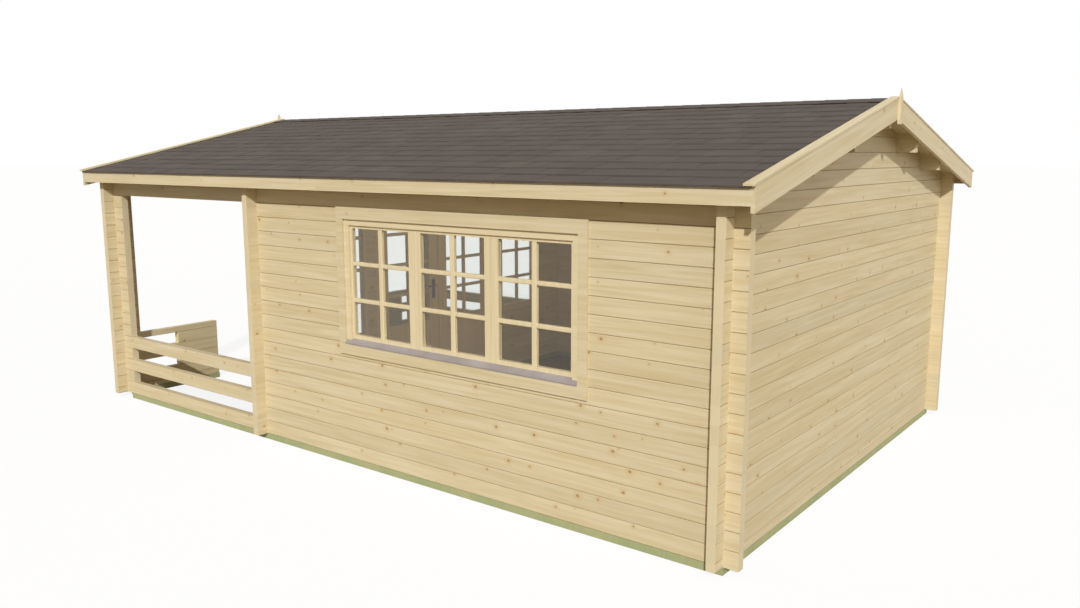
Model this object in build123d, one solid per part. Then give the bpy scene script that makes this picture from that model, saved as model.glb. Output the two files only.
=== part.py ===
from build123d import *
import math
import os

# The cabin stands with +Z up. Its front, with the veranda, faces -Y, and the side with the
# wide window faces +X. The origin is on the ground, under the middle of the roof.

# Logs
course = 114
log_thickness = 60
log_tail = 96
joint = 4
beam_height = 50
beam_width = 68

# Plan, between outer faces of the walls
width = 4200
length = 6520
room_length = 4267
partition_tail = 45

# Roof
roof_slope = 0.2333
ridge_top = 2758
deck_thickness = 56
shingle_thickness = 12
eave_overhang = 190
shingle_drip = 18
fascia_thickness = 20
fascia_bottom = 2114
rear_overhang = 200
front_overhang = 125
barge_thickness = 25
barge_depth = 143
cap_width = 65
cap_thickness = 12
cap_end = 25
cap_lip = 5
finial_width = 36
finial_thickness = 20
finial_bottom = 2580
finial_top = 2823
finial_shoulder = 2765
finial_point = 4

# Purlins: distance of the uphill face from the ridge line, and underside
purlin_rows = [(660, 2388), (1335, 2248)]
ridge_purlin_bottom = 2551
purlin_width = 45
purlin_setback = 25

# Courses: the side walls carry two full length logs above the veranda opening
plate_course = 17
top_course = 19
lintel_course = 17.5
gable_course = 24
rail_courses = [0, 2, 4]
rail_top_course = 5
front_gaps = [(1.5, 2.5), (3.5, 4.5)]

# Veranda posts and front railing
post_arm_x = 110
post_arm_y = 140
infill_starts = {"right": 575, "left": 446}
rail_end = 1025

# Side window, measured from the rear wall's outer face
side_window_centre = 2080
side_window_bottom = 940
side_window_top = 1934
sash_pitch = 706
sash_count = 3
sash_stile = 58
sash_head = 68
frame_width = 30
lip_thickness = 15
lip_side = 70
lip_head = 78
trim_side = 70
trim_head = 90
trim_thickness = 18
trim_lap = 21
trim_bottom = 878
trim_top = 1992
sill_bottom = 962
sill_top = 1000
sill_depth = 26
sill_edge = 10
sash_thickness = 40
glass_thickness = 14
gap = 2
seat = 1

# Doors and the windows beside them, measured from the line where the doors meet
door_centre = -20
door_leaf = 795
door_stile = 120
door_edge = 3
door_clearance = 5
door_thickness = 44
door_frame = 38
door_glass_bottom = 734
door_glass_top = 1916
head_frame = 33
threshold = 25
panel_border = 96
panel_depth = 9
porch_window_inner = 962
porch_window_outer = 1578
porch_window_sill_course = 5.5
casing_width = 70
casing_thickness = 18
casing_lap = 20
door_casing_lap = 29

# Hinges and handles
hinge_setback = 12
hinge_gap = 2
hinge_heights = [330, 1070, 1810]
hinge_length = 90
hinge_radius = 7
hinge_leaf = 43
hinge_plate = 3
handle_height = 1080
handle_offset = 72
handle_plate_width = 40
handle_plate_low = 130
handle_plate_high = 60
handle_plate_thickness = 6
handle_radius = 8
handle_reach = 40
handle_length = 120

wall_x = width / 2
y_back = (length + front_overhang + rear_overhang) / 2 - rear_overhang
y_front = y_back - length
y_partition = y_back - room_length
roof_angle = math.atan(roof_slope)
shingle_rise = shingle_thickness / math.cos(roof_angle)
deck_rise = deck_thickness / math.cos(roof_angle)
cap_rise = cap_thickness / math.cos(roof_angle)
fascia_x = wall_x + eave_overhang
y_roof_back = y_back + rear_overhang - barge_thickness
y_roof_front = y_front - front_overhang + barge_thickness
side_window_y = y_back - side_window_centre
side_window_half = sash_count * sash_pitch / 2 + gap + frame_width
doorway_half = door_edge + door_leaf + door_clearance + door_frame
hinge_x = door_edge + door_leaf + hinge_gap


def level(courses):
    """Height of a number of courses above the foundation beams."""
    return beam_height + courses * course


def surface(x):
    """Height of the top of the shingles."""
    return ridge_top - roof_slope * abs(x)


def underside(x):
    """Height of the underside of the roof deck."""
    return surface(x) - shingle_rise - deck_rise


def block(x_low, x_high, y_low, y_high, z_low, z_high):
    """A box between two corners."""
    centre = ((x_low + x_high) / 2, (y_low + y_high) / 2, (z_low + z_high) / 2)
    return Pos(*centre) * Box(x_high - x_low, y_high - y_low, z_high - z_low)


def join(shapes):
    """All the given shapes as one."""
    total = shapes[0]
    for shape in shapes[1:]:
        total = total + shape
    return total


def jointed_face(bottom, top, shift):
    """Points up a face of stacked logs with a V joint at each seam: depth in from the face, and height."""
    points = [(joint, bottom), (0, bottom + joint)]
    for number in range(gable_course):
        seam = level(number + shift)
        if bottom + joint < seam < top - joint:
            points += [(0, seam - joint), (joint, seam), (0, seam + joint)]
    return points + [(0, top - joint), (joint, top)]


def log_outline(bottom, top, shift, jointed):
    """Section through stacked logs, jointed on the near face, the far face or both."""
    plain = [(0, bottom), (0, top)]
    with_joints = jointed_face(bottom, top, shift)
    near = plain if jointed == "far" else with_joints
    far = plain if jointed == "near" else with_joints
    return near + [(log_thickness - across, z) for across, z in reversed(far)]


def side_logs(x_low, y_low, y_high, first, last, jointed):
    """Logs along Y, whose seams are at whole courses."""
    outline = log_outline(level(first), level(last), 0, jointed)
    section = make_face(Polyline([(x_low + across, y_low, z) for across, z in outline], close=True))
    return extrude(section, amount=y_high - y_low, dir=(0, 1, 0))


def cross_logs(y_low, x_low, x_high, first, last, jointed):
    """Logs along X, which start with a half log, so that their seams are at half courses."""
    outline = log_outline(level(first), level(last), 0.5, jointed)
    section = make_face(Polyline([(x_low, y_low + across, z) for across, z in outline], close=True))
    return extrude(section, amount=x_high - x_low, dir=(1, 0, 0))


def necks(y_low, side, shift, first, last):
    """The necks that one set of logs keeps where it crosses the other, a half course high."""
    x_low = wall_x - log_thickness if side > 0 else -wall_x
    boxes = []
    for number in range(first, last + 1):
        middle = level(number + shift)
        low = middle - course / 4
        high = middle + course / 4
        boxes.append(block(x_low, x_low + log_thickness, y_low, y_low + log_thickness, low, high))
    return join(boxes)


def notch_for_cross_logs(wall, y_low, side):
    """Cut the necks of the logs along X out of logs along Y."""
    return wall - necks(y_low, side, 0, 0, top_course)


def notch_for_side_logs(wall, y_low, side):
    """Cut the necks of the logs along Y out of logs along X."""
    return wall - necks(y_low, side, 0.5, 0, top_course - 1)


def above_roof():
    """Everything over the underside of the roof deck."""
    reach = wall_x + course * 4
    over = level(gable_course + 1)
    points = [(-reach, underside(reach)), (0, underside(0)), (reach, underside(reach))]
    points += [(reach, over), (-reach, over)]
    section = make_face(Polyline([(x, y_front - reach, z) for x, z in points], close=True))
    return extrude(section, amount=length + 2 * reach, dir=(0, 1, 0))


def purlin(x_low, bottom):
    """A purlin over both gables and the partition, its top planed to the slope of the roof."""
    beam = block(x_low, x_low + purlin_width, y_roof_front + purlin_setback, y_roof_back - purlin_setback,
                 bottom, ridge_top)
    return beam - above_roof()


def sloping_board(x_from, x_to, top_drop, depth, y_low, y_high):
    """A board that follows the roof, top_drop below the shingles' surface at its top edge."""
    points = [(x_from, surface(x_from) - top_drop), (x_to, surface(x_to) - top_drop)]
    points += [(x_to, surface(x_to) - top_drop - depth), (x_from, surface(x_from) - top_drop - depth)]
    section = make_face(Polyline([(x, y_low, z) for x, z in points], close=True))
    return extrude(section, amount=y_high - y_low, dir=(0, 1, 0))


def ring(horizontal, x_low, x_high, y_low, y_high, z_low, z_high, sides, bottom, top):
    """A rectangular frame in a wall along Y or X, with members of the given widths."""
    outer = block(x_low, x_high, y_low, y_high, z_low, z_high)
    if horizontal == "y":
        hole = block(x_low - 1, x_high + 1, y_low + sides, y_high - sides, z_low + bottom, z_high - top)
    else:
        hole = block(x_low + sides, x_high - sides, y_low - 1, y_high + 1, z_low + bottom, z_high - top)
    return outer - hole


def make_foundation(parts):
    """Beams under the walls and the front railings, with none across the way in."""
    outer = wall_x
    inner = wall_x - beam_width
    beam_front = y_front + post_arm_y
    sides = [block(x_low, x_low + beam_width, beam_front, y_back, 0, beam_height) for x_low in (inner, -outer)]
    parts["foundation_sides"] = Compound(children=sides)
    rows = [(-inner, inner, y_back - beam_width), (-inner, inner, y_partition)]
    rows += [(-inner, rail_end - wall_x, y_front), (wall_x - rail_end, inner, y_front)]
    cross = [block(x_low, x_high, y_low, y_low + beam_width, 0, beam_height) for x_low, x_high, y_low in rows]
    parts["foundation_cross"] = Compound(children=cross)


def make_side_walls(parts, roof):
    """The long walls: the right one is cut for the window, the left one is plain."""
    rear = y_back - log_thickness
    room_end = y_partition - partition_tail
    right = wall_x - log_thickness
    window_rear = side_window_y + side_window_half
    window_front = side_window_y - side_window_half
    window = block(right - joint, wall_x + joint, window_front, window_rear, side_window_bottom, side_window_top)
    pieces = {
        "right_wall_lower": (right, room_end, y_back + log_tail, 0, 8),
        "right_wall_rear": (right, window_rear, y_back + log_tail, 8, 16),
        "right_wall_front": (right, room_end, window_front, 8, 16),
        "right_wall_head": (right, room_end, y_back + log_tail, 16, plate_course),
        "right_wall_plate": (right, y_front - log_tail, y_back + log_tail, plate_course, top_course),
        "left_wall": (-wall_x, room_end, y_back + log_tail, 0, plate_course),
        "left_wall_plate": (-wall_x, y_front - log_tail, y_back + log_tail, plate_course, top_course),
    }
    for name, (x_low, y_low, y_high, first, last) in pieces.items():
        side = 1 if x_low > 0 else -1
        wall = side_logs(x_low, y_low, y_high, first, last, "far" if side > 0 else "near")
        for crossing in (rear, y_partition, y_front):
            if y_low < crossing < y_high:
                wall = notch_for_cross_logs(wall, crossing, side)
        if last == top_course:
            wall = wall - roof
        if side > 0 and last <= plate_course:
            wall = wall - window
        parts[name] = wall


def make_cross_walls(parts, roof, purlins):
    """The rear gable, the partition with its openings, and the gable over the veranda."""
    edge = wall_x + log_tail
    rear = y_back - log_thickness
    full = {
        "rear_gable": (rear, 0, gable_course, "far"),
        "partition_gable": (y_partition, lintel_course, gable_course, "near"),
        "front_gable": (y_front, lintel_course, gable_course, "near"),
        "partition_sill": (y_partition, 0, 0.5, "near"),
    }
    for name, (y_low, first, last, jointed) in full.items():
        wall = cross_logs(y_low, -edge, edge, first, last, jointed)
        for side in (1, -1):
            wall = notch_for_side_logs(wall, y_low, side)
        if last == gable_course:
            wall = wall - roof - purlins
        parts[name] = wall
    sill = porch_window_sill_course
    pairs = {
        "partition_lower": (doorway_half, edge, 0.5, sill),
        "partition_sides": (porch_window_outer, edge, sill, lintel_course),
        "partition_posts": (doorway_half, porch_window_inner, sill, lintel_course),
    }
    for name, (near, far, first, last) in pairs.items():
        walls = []
        for side in (1, -1):
            outer = side * edge if far == edge else door_centre + side * far
            x_low, x_high = sorted((door_centre + side * near, outer))
            wall = cross_logs(y_partition, x_low, x_high, first, last, "near")
            walls.append(notch_for_side_logs(wall, y_partition, side) if far == edge else wall)
        parts[name] = Compound(children=walls)


def make_veranda(parts):
    """Corner posts of short crossed logs, and the railings between them."""
    edge = wall_x + log_tail
    for side, name in ((1, "right"), (-1, "left")):
        x_low = wall_x - log_thickness if side > 0 else -wall_x
        rails = []
        for number in rail_courses:
            rail = side_logs(x_low, y_front - log_tail, y_partition - partition_tail, number, number + 1, "both")
            rails.append(notch_for_cross_logs(rail, y_front, side))
        parts["side_rails_" + name] = Compound(children=rails)
        arm = wall_x - log_thickness - post_arm_x
        across = cross_logs(y_front, min(side * arm, side * edge), max(side * arm, side * edge),
                            0, lintel_course, "both")
        across = across - necks(y_front, side, 0.5, plate_course, top_course - 1)
        along_end = y_front + log_thickness + post_arm_y
        along = side_logs(x_low, y_front - log_tail, along_end, 0, plate_course, "both")
        post = across + along
        for rail in rails:
            post = post - rail
        parts["post_" + name] = post
        start, end = sorted((side * (wall_x - rail_end), side * arm))
        railing = cross_logs(y_front, start, end, 0, rail_top_course, "both")
        gap_low, gap_high = sorted((side * (wall_x - infill_starts[name]), side * (arm + gap)))
        for low, high in front_gaps:
            railing = railing - block(gap_low, gap_high, y_front, y_front + log_thickness, level(low), level(high))
        parts["front_rails_" + name] = railing


def make_purlins(parts):
    """The ridge purlin and two purlins on each slope."""
    right = [purlin(x, bottom) for x, bottom in purlin_rows]
    left = [purlin(-x - purlin_width, bottom) for x, bottom in purlin_rows]
    purlins = [purlin(-purlin_width / 2, ridge_purlin_bottom)] + right + left
    parts["purlins"] = Compound(children=purlins)
    return join(purlins)


def make_finials(parts):
    """A pointed batten over each gable's apex, which also covers the joint of its barge boards."""
    half = finial_width / 2
    battens = []
    for y_low in (y_back + rear_overhang, y_front - front_overhang - finial_thickness):
        shaft = block(-half, half, y_low, y_low + finial_thickness, finial_bottom, finial_shoulder)
        middle = y_low + finial_thickness / 2
        shoulder = Pos(0, middle, finial_shoulder) * Rectangle(finial_width, finial_thickness)
        point = Pos(0, middle, finial_top) * Rectangle(finial_point, finial_point)
        battens.append(shaft + loft([shoulder, point]))
    parts["finials"] = Compound(children=battens)
    return join(battens)


def make_roof(parts):
    """Deck, shingles, fascias, barge boards with their caps, and finials."""
    deck_end = fascia_x - fascia_thickness
    finials = make_finials(parts)
    fascias = []
    for side, name in ((1, "right"), (-1, "left")):
        parts["roof_deck_" + name] = sloping_board(
            0, side * deck_end, shingle_rise, deck_rise, y_roof_front, y_roof_back)
        parts["shingles_" + name] = sloping_board(
            0, side * (fascia_x + shingle_drip), 0, shingle_rise, y_roof_front, y_roof_back)
        top = surface(fascia_x) - shingle_rise
        x_low, x_high = sorted((side * deck_end, side * fascia_x))
        fascias.append(block(x_low, x_high, y_roof_front, y_roof_back, fascia_bottom, top))
        for end, y_low, cap_low in (
            ("rear", y_roof_back, y_roof_back + barge_thickness + cap_lip - cap_width),
            ("front", y_roof_front - barge_thickness, y_roof_front - barge_thickness - cap_lip),
        ):
            board = sloping_board(0, side * fascia_x, 0, barge_depth, y_low, y_low + barge_thickness)
            cap = sloping_board(0, side * (fascia_x + cap_end), -cap_rise, cap_rise, cap_low, cap_low + cap_width)
            parts["barge_" + end + "_" + name] = board + cap - finials
    parts["fascias"] = Compound(children=fascias)


def make_side_window(parts):
    """Three sashes side by side in one frame, with trim boards and a drip sill outside."""
    outer = wall_x
    inner = wall_x - log_thickness
    low = side_window_y - side_window_half
    high = side_window_y + side_window_half
    lip_x = outer - lip_thickness
    body = ring("y", inner, lip_x, low, high, side_window_bottom, side_window_top,
                frame_width, frame_width, frame_width)
    lip = ring("y", lip_x, outer, low, high, side_window_bottom, side_window_top,
               lip_side, frame_width, lip_head)
    parts["side_window_frame"] = body + lip
    sash_x = lip_x - seat - sash_thickness
    sash_low = side_window_bottom + frame_width + gap
    sash_high = side_window_top - frame_width - gap
    sashes = []
    panes = []
    for number in range(sash_count):
        start = low + frame_width + gap + number * sash_pitch
        sash = ring("y", sash_x, sash_x + sash_thickness, start + seat, start + sash_pitch - seat,
                    sash_low, sash_high, sash_stile, sash_stile, sash_head)
        sashes.append(sash)
        middle = sash_x + sash_thickness / 2
        panes.append(block(middle - glass_thickness / 2, middle + glass_thickness / 2,
                           start + seat + sash_stile, start + sash_pitch - seat - sash_stile,
                           sash_low + sash_stile, sash_high - sash_head))
    parts["side_window_sashes"] = Compound(children=sashes)
    parts["side_window_glass"] = Compound(children=panes)
    hole_low = low + trim_lap
    hole_high = high - trim_lap
    parts["side_window_trim"] = ring(
        "y", outer, outer + trim_thickness, hole_low - trim_side, hole_high + trim_side,
        trim_bottom, trim_top, trim_side, sill_bottom - trim_bottom, trim_head)
    sill_back = lip_x - seat
    points = [(sill_back, sill_top), (outer + sill_depth, sill_bottom + sill_edge)]
    points += [(outer + sill_depth, sill_bottom), (sill_back, sill_bottom)]
    section = make_face(Polyline([(x, hole_low, z) for x, z in points], close=True))
    sill = extrude(section, amount=hole_high - hole_low, dir=(0, 1, 0))
    parts["side_window_sill"] = sill - parts["side_window_frame"] - sashes


def make_porch_windows(parts):
    """A tall fixed window each side of the doors."""
    bottom = level(porch_window_sill_course)
    top = level(lintel_course)
    glass_y = y_partition + log_thickness / 2 - glass_thickness / 2
    face = y_partition - casing_thickness
    reach = casing_width - casing_lap
    frames = []
    panes = []
    for side in (1, -1):
        x_low, x_high = sorted((door_centre + side * porch_window_inner, door_centre + side * porch_window_outer))
        frame = ring("x", x_low, x_high, y_partition, y_partition + log_thickness, bottom, top,
                     frame_width, door_glass_bottom - bottom, top - door_glass_top)
        casing = ring("x", x_low - reach, x_high + reach, face, y_partition, bottom - reach, top + reach,
                      casing_width, casing_width, casing_width)
        frames.append(frame + casing)
        panes.append(block(x_low + frame_width, x_high - frame_width, glass_y, glass_y + glass_thickness,
                           door_glass_bottom, door_glass_top))
    parts["porch_windows"] = Compound(children=frames)
    parts["porch_window_glass"] = Compound(children=panes)


def make_doors(parts):
    """A frame in the partition and two glazed leaves that open onto the veranda."""
    sill = level(0.5)
    head = level(lintel_course)
    x_low = door_centre - doorway_half
    x_high = door_centre + doorway_half
    frame = ring("x", x_low, x_high, y_partition, y_partition + log_thickness,
                 sill, head, door_frame, threshold, head_frame)
    reach = casing_width - door_casing_lap
    casing = ring("x", x_low - reach, x_high + reach, y_partition - casing_thickness, y_partition,
                  sill, head + reach, casing_width, -joint, casing_width)
    parts["door_frame"] = frame + casing
    bottom = sill + threshold + door_clearance + seat
    top = head - head_frame - door_clearance
    for side, name in ((1, "right"), (-1, "left")):
        near = door_centre + side * door_edge
        x_low, x_high = sorted((near, near + side * door_leaf))
        leaf = ring("x", x_low, x_high, y_partition, y_partition + door_thickness, bottom, top,
                    door_stile, door_glass_bottom - bottom, top - door_glass_top)
        for face in (y_partition, y_partition + door_thickness):
            leaf = leaf - block(x_low + door_stile, x_high - door_stile, face - panel_depth, face + panel_depth,
                                bottom + door_stile, door_glass_bottom - panel_border)
        parts["door_leaf_" + name] = join([leaf] + make_hinges(side))
        middle = y_partition + door_thickness / 2
        parts["door_glass_" + name] = block(
            x_low + door_stile, x_high - door_stile, middle - glass_thickness / 2,
            middle + glass_thickness / 2, door_glass_bottom, door_glass_top)


def make_hinges(side):
    """Barrel hinges down one leaf's outer edge, each with its plate on the face of the leaf."""
    pivot = door_centre + side * hinge_x
    y_pivot = y_partition - hinge_setback
    x_low, x_high = sorted((pivot - side * hinge_gap, pivot - side * (hinge_gap + hinge_leaf)))
    hinges = []
    for height in hinge_heights:
        low = height - hinge_length / 2
        high = height + hinge_length / 2
        barrel = Pos(pivot, y_pivot, height) * Cylinder(hinge_radius, hinge_length)
        plate = block(x_low, x_high, y_partition - hinge_plate, y_partition, low, high)
        knuckle = block(min(pivot, pivot - side * hinge_radius), max(pivot, pivot - side * hinge_radius),
                        y_pivot, y_partition, low, high)
        hinges.append(barrel + knuckle + plate)
    return hinges


def make_handles(parts):
    """A lever handle on each face of the right leaf, with a long plate behind it."""
    x = door_centre + handle_offset
    handles = []
    for face, away in ((y_partition, -1), (y_partition + door_thickness, 1)):
        y_low, y_high = sorted((face, face + away * handle_plate_thickness))
        plate = block(x - handle_plate_width / 2, x + handle_plate_width / 2, y_low, y_high,
                      handle_height - handle_plate_low, handle_height + handle_plate_high)
        stem = Pos(x, face + away * handle_reach / 2, handle_height) * Rot(90, 0, 0) * Cylinder(
            handle_radius, handle_reach)
        grip = Pos(x + handle_length / 2 - handle_radius, face + away * handle_reach, handle_height) * Rot(
            0, 90, 0) * Cylinder(handle_radius, handle_length)
        handles.append(plate + stem + grip)
    parts["door_handles"] = Compound(children=handles)


def main():
    """Build every piece and write it to its own file."""
    parts = {}
    roof = above_roof()
    make_foundation(parts)
    make_side_walls(parts, roof)
    purlins = make_purlins(parts)
    make_cross_walls(parts, roof, purlins)
    make_veranda(parts)
    make_roof(parts)
    make_side_window(parts)
    make_porch_windows(parts)
    make_doors(parts)
    make_handles(parts)
    os.makedirs("parts", exist_ok=True)
    for name, shape in parts.items():
        export_step(shape, f"parts/{name}.step")


if __name__ == "__main__":
    main()
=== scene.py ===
"""Finishes and fine pieces of a garden log cabin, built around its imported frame."""

import math
import random

import bmesh
import bpy
from bpy.props import FloatProperty, FloatVectorProperty, IntProperty, PointerProperty
from bpy.types import Operator, Panel, PropertyGroup
from mathutils import Matrix, Vector


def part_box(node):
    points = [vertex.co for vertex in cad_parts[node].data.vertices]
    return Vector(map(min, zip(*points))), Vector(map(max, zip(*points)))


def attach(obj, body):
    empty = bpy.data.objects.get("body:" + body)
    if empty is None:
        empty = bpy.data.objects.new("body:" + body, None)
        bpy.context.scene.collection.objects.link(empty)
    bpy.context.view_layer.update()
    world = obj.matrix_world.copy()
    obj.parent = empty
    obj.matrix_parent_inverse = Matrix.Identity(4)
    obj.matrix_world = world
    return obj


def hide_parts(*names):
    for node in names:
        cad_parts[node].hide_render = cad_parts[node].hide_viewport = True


bl_info = {
    "name": "Garden log cabin",
    "version": (1, 0, 0),
    "blender": (4, 5, 0),
    "location": "View3D > Sidebar > Cabin",
    "description": "Gives a log cabin its timber, roof, glass and fine pieces",
    "category": "Object",
}

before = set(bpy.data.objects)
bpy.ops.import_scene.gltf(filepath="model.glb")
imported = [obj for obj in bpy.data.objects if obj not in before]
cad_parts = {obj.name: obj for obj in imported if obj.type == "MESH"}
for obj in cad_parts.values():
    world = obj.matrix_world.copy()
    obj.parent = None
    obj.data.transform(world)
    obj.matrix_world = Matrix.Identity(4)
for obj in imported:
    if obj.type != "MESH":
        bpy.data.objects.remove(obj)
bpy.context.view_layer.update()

# Pieces of the frame by their finish
WALL_NODES = [
    "right_wall_lower", "right_wall_rear", "right_wall_front", "right_wall_head",
    "right_wall_plate", "left_wall", "left_wall_plate", "rear_gable", "partition_gable",
    "partition_sill", "partition_lower", "partition_sides", "partition_posts", "front_gable",
]
RAIL_NODES = [
    "post_left", "post_right", "side_rails_left", "side_rails_right",
    "front_rails_left", "front_rails_right",
]
BARGE_NODES = ["barge_front_left", "barge_front_right", "barge_rear_left", "barge_rear_right"]
GLASS_NODES = ["side_window_glass", "porch_window_glass", "door_glass_left", "door_glass_right"]
BEAM_NODES = ["foundation_sides", "foundation_cross"]
DOOR_NODES = ["door_leaf_left", "door_leaf_right"]
SASH_NODES = ["side_window_sashes", "porch_windows", "door_frame"]

# Places read from the frame
CROSS_WALLS = [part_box(name) for name in ("rear_gable", "partition_gable", "front_gable")]
BEAM_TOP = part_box("foundation_sides")[1].z
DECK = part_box("roof_deck_right")
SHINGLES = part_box("shingles_right")
RIDGE = SHINGLES[1].z
ROOF_SLOPE = (DECK[1].z - SHINGLES[0].z) / SHINGLES[1].x
ROOF_ANGLE = math.atan(ROOF_SLOPE)
HALF_LOG = (CROSS_WALLS[0][1].y - CROSS_WALLS[0][0].y) / 2
DOOR_FACE = CROSS_WALLS[1][0].y
ROOM_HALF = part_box("right_wall_lower")[0].x
ROOM_FRONT = CROSS_WALLS[1][1].y
ROOM_BACK = CROSS_WALLS[0][0].y

# Slopes of the roof, by their side of the ridge
SLOPES = ((1, "right"), (-1, "left"))
SIDE_SASHES = 3

# How often streaks and fibres change, per metre along, across and through the wood
STREAKS_PER_METRE = (0.9, 16.0, 22.0)
FIBRES_PER_METRE = (5.0, 240.0, 240.0)
STREAK_PART = 0.8

# How far along its pattern each log is read, so that no two logs are alike
GRAIN_JUMP = 40.0
KNOT_JUMP = 61.0

# Length of wood that may hold one knot, and the shape of a knot
KNOT_CELL = 0.30
KNOT_STRETCH = 0.8
KNOT_WOBBLE = 0.004
SMALLEST_KNOT = 0.35

# Cells across the cabin that tell one wall from the next, and growth rings on the ends
CELLS_PER_METRE = 2.0
CELL_OFFSET = 0.3
LOGS_PER_METRE = 8.0
RINGS_PER_LOG = 16.0
HEART_BELOW = 0.35

# Where the painted shade along a seam starts to fade and where it ends, from its middle
SEAM_SHADE_CORE = 0.0012
SEAM_SHADE_EDGE = 0.0032

# Limits that tell which way a face looks, and room for rounding
END_FACING = 0.7
SIDE_FACING = 0.5
WALL_MARGIN = 0.0005
HINGE_MARGIN = 0.0002

# How near two places are taken for one, along a piece and through a thin one
TOUCHING = 0.0005
HAIR = 0.0001

# Random draws of the roof
SLOPE_SEED = 20
RIDGE_SEED = 7

# Rays that look at the floor and background, straight or through glass and gloss
LOOKING_RAYS = ("Is Camera Ray", "Is Glossy Ray", "Is Transmission Ray")

FLOOR_WIDTH = 400.0
FLOOR_DROP = 0.001
LAMP_AWAY = 12.0
SENSOR_WIDTH = 36.0


def from_screen(red, green, blue):
    """The linear colour of a screen colour from 0 to 255."""
    shares = [value / 255 for value in (red, green, blue)]
    return [s / 12.92 if s <= 0.04045 else ((s + 0.055) / 1.055) ** 2.4 for s in shares]


def colour(name, description, red, green, blue):
    """A colour property with its default as a screen colour."""
    return FloatVectorProperty(
        name=name, description=description, subtype="COLOR", size=3, min=0.0, max=1.0,
        default=from_screen(red, green, blue))


def distance(name, description, metres):
    """A length property."""
    return FloatProperty(
        name=name, description=description, subtype="DISTANCE", unit="LENGTH", min=0.0,
        default=metres)


def fraction(name, description, value):
    """A property from none to all."""
    return FloatProperty(
        name=name, description=description, subtype="FACTOR", min=0.0, max=1.0, default=value)


def amount(name, description, number):
    """A property that counts things."""
    return IntProperty(name=name, description=description, min=1, default=number)


def power(name, description, value):
    """A property for the strength of a light."""
    return FloatProperty(name=name, description=description, min=0.0, default=value)


def angle(name, description, degrees):
    """An angle property with its default in degrees."""
    return FloatProperty(
        name=name, description=description, subtype="ANGLE", default=math.radians(degrees))


def point(name, description, x, y, z):
    """A property for a place."""
    return FloatVectorProperty(
        name=name, description=description, subtype="TRANSLATION", unit="LENGTH",
        default=(x, y, z))


def bearing(name, description, x, y, z):
    """A property for a direction."""
    return FloatVectorProperty(
        name=name, description=description, subtype="DIRECTION", default=(x, y, z))


class TimberSettings(PropertyGroup):
    """Colours and grain of the timber."""

    course: distance("Course", "Height of one log", 0.114)
    pine: colour("Pine", "Plain face of a log", 216, 203, 171)
    pine_streak: colour("Streaks", "Darker streaks along the grain", 203, 186, 146)
    joinery: colour("Joinery", "Plain face of frames, sashes and doors", 223, 209, 174)
    joinery_streak: colour("Joinery streaks", "Darker streaks in frames and doors", 213, 197, 158)
    knot: colour("Knots", "Centre of a knot", 150, 115, 70)
    knot_halo: colour("Round a knot", "Resinous wood round a knot", 203, 178, 132)
    # Colour of the painted shade in the V joints between logs; the beams' saw marks take the same
    # colour
    seam: colour("Seams", "Bottom of the joint between two logs", 138, 112, 72)
    knot_radius: distance("Knot size", "Radius of the largest knots", 0.012)
    knot_share: fraction("Knots", "Share of places along a log that have a knot", 0.4)
    few_knots: fraction("Few knots", "The same share on frames, sashes and doors", 0.08)
    beam: colour("Treated beam", "Greenish timber under the walls", 160, 170, 124)


class RoofSettings(PropertyGroup):
    """Shingles, and the boards under them."""

    exposure: distance("Exposure", "Height of a course that shows, along the slope", 0.1633)
    first_course: distance("First course", "From the eave to the second course", 0.170)
    tab_width: distance("Tab width", "Mean width of a raised tab", 0.22)
    tab_thickness: distance("Tab thickness", "How far a tab stands over its course", 0.0012)
    tab_reach: distance("Tab reach", "How far a tab reaches past its course", 0.0015)
    ridge_half: distance("Ridge shingle", "From the ridge to a ridge shingle's edge", 0.125)
    board_count: amount("Roof boards", "Number of boards on each slope", 72)
    board_groove: distance("Groove", "Width of the chamfer between two roof boards", 0.004)
    granules: colour("Granules", "Mineral face of the shingles", 91, 84, 79)
    granules_light: colour("Light tabs", "Palest tabs", 103, 96, 91)
    granules_dark: colour("Dark tabs", "Darkest tabs", 80, 73, 69)
    printed: colour("Printed lines", "Shadow lines printed above the laps", 66, 60, 56)


class WindowSettings(PropertyGroup):
    """Bars of the windows and doors, and their fittings."""

    upright: distance("Upright bar", "Width of the side window's upright bars", 0.040)
    crossbar: distance("Cross bar", "Height of the cross bars", 0.030)
    bar_depth: distance("Bar depth", "How far a bar stands off the glass", 0.011)
    bar_edge: distance("Bar edge", "Width of the rounding along a bar", 0.005)
    sash_pitch: distance("Sash pitch", "From one sash of the side window to the next", 0.706)
    lower_bar: distance("Lower cross bar", "Height of the side window's lower bars", 1.294)
    upper_bar: distance("Upper cross bar", "Height of the side window's upper bars", 1.570)
    door_rows: amount("Door rows", "Rows of panes in a door", 4)
    sill: colour("Drip sill", "Painted metal under the side window", 148, 138, 138)
    metal: colour("Fittings", "Brushed metal of handles and hinges", 150, 150, 148)
    glass: colour("Glass", "Tint of the panes", 246, 248, 246)


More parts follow.
